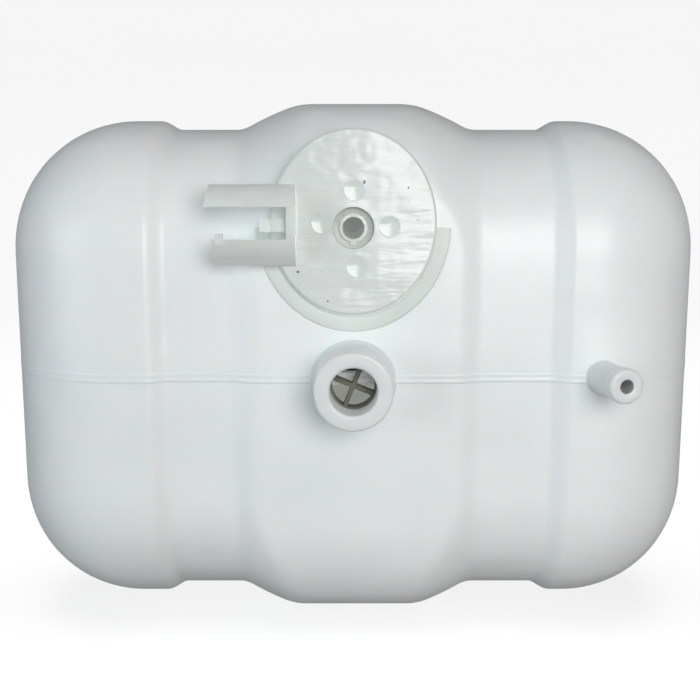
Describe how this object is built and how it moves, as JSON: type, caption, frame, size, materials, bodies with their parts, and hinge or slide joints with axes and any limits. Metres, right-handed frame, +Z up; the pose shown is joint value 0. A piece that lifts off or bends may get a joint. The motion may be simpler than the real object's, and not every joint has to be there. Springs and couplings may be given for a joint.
{
  "type": "expansion tank",
  "caption": "White blow-moulded coolant expansion tank with strap grooves, hose stub, vent nipple, level sensor carrier with float, and a screw cap with a pressure valve",
  "frame": {"origin": "middle of the flat belly that the tank stands on", "axes": "X along the tank, -Y out of the port face that the picture shows, Z up as in the picture"},
  "size_m": [0.4024, 0.2203, 0.3016],
  "materials": {
    "tank_plastic": "satin, slightly translucent",
    "carrier_plastic": "glossy, slightly translucent",
    "float_foam": "matt closed-cell foam",
    "magnet_ferrite": "sintered",
    "retainer_steel": "pressed sheet",
    "cross_plastic": "satin",
    "cap_plastic": "fine grain",
    "insert_plastic": "satin",
    "seal_rubber": "matt",
    "plate_brass": "pressed",
    "spring_steel": "drawn wire"
  },
  "bodies": {
    "tank": {"tank_body": "tank_plastic", "sensor_carrier": "carrier_plastic", "float_retainer": "retainer_steel", "outlet_cross": "cross_plastic"},
    "float": {"level_float": "float_foam", "float_magnet": "magnet_ferrite"},
    "cap_insert": {"valve_insert": "insert_plastic", "neck_seal": "seal_rubber", "spring_seat": "insert_plastic", "pressure_spring": "spring_steel"},
    "cap": {"cap_cover": "cap_plastic"},
    "pressure_valve": {"pressure_plate": "plate_brass", "pressure_seal": "seal_rubber", "vacuum_valve": "seal_rubber"}
  },
  "joints": [
    {"name": "float_slide", "type": "slide", "parent": "tank", "child": "float", "axis": [0, 1, 0], "range_m": [0, 0.042]},
    {"name": "cap_lift", "type": "slide", "parent": "tank", "child": "cap_insert", "axis": [0, 1, 0], "range_m": [0, 0.01005]},
    {"name": "cap_turn", "type": "hinge", "parent": "cap_insert", "child": "cap", "pos_m": [0, 0.1, 0.1491], "axis": [0, 1, 0], "range_deg": [0, 720]},
    {"name": "pressure_valve_lift", "type": "slide", "parent": "cap_insert", "child": "pressure_valve", "axis": [0, 1, 0], "range_m": [0, 0.003], "stiffness_N_per_m": 1500, "springref_m": -0.004, "deforming": ["pressure_spring"]}
  ],
  "couplings": [
    {"joint": "cap_lift", "follows": "cap_turn", "m_per_rad": 0.00079577}
  ]
}
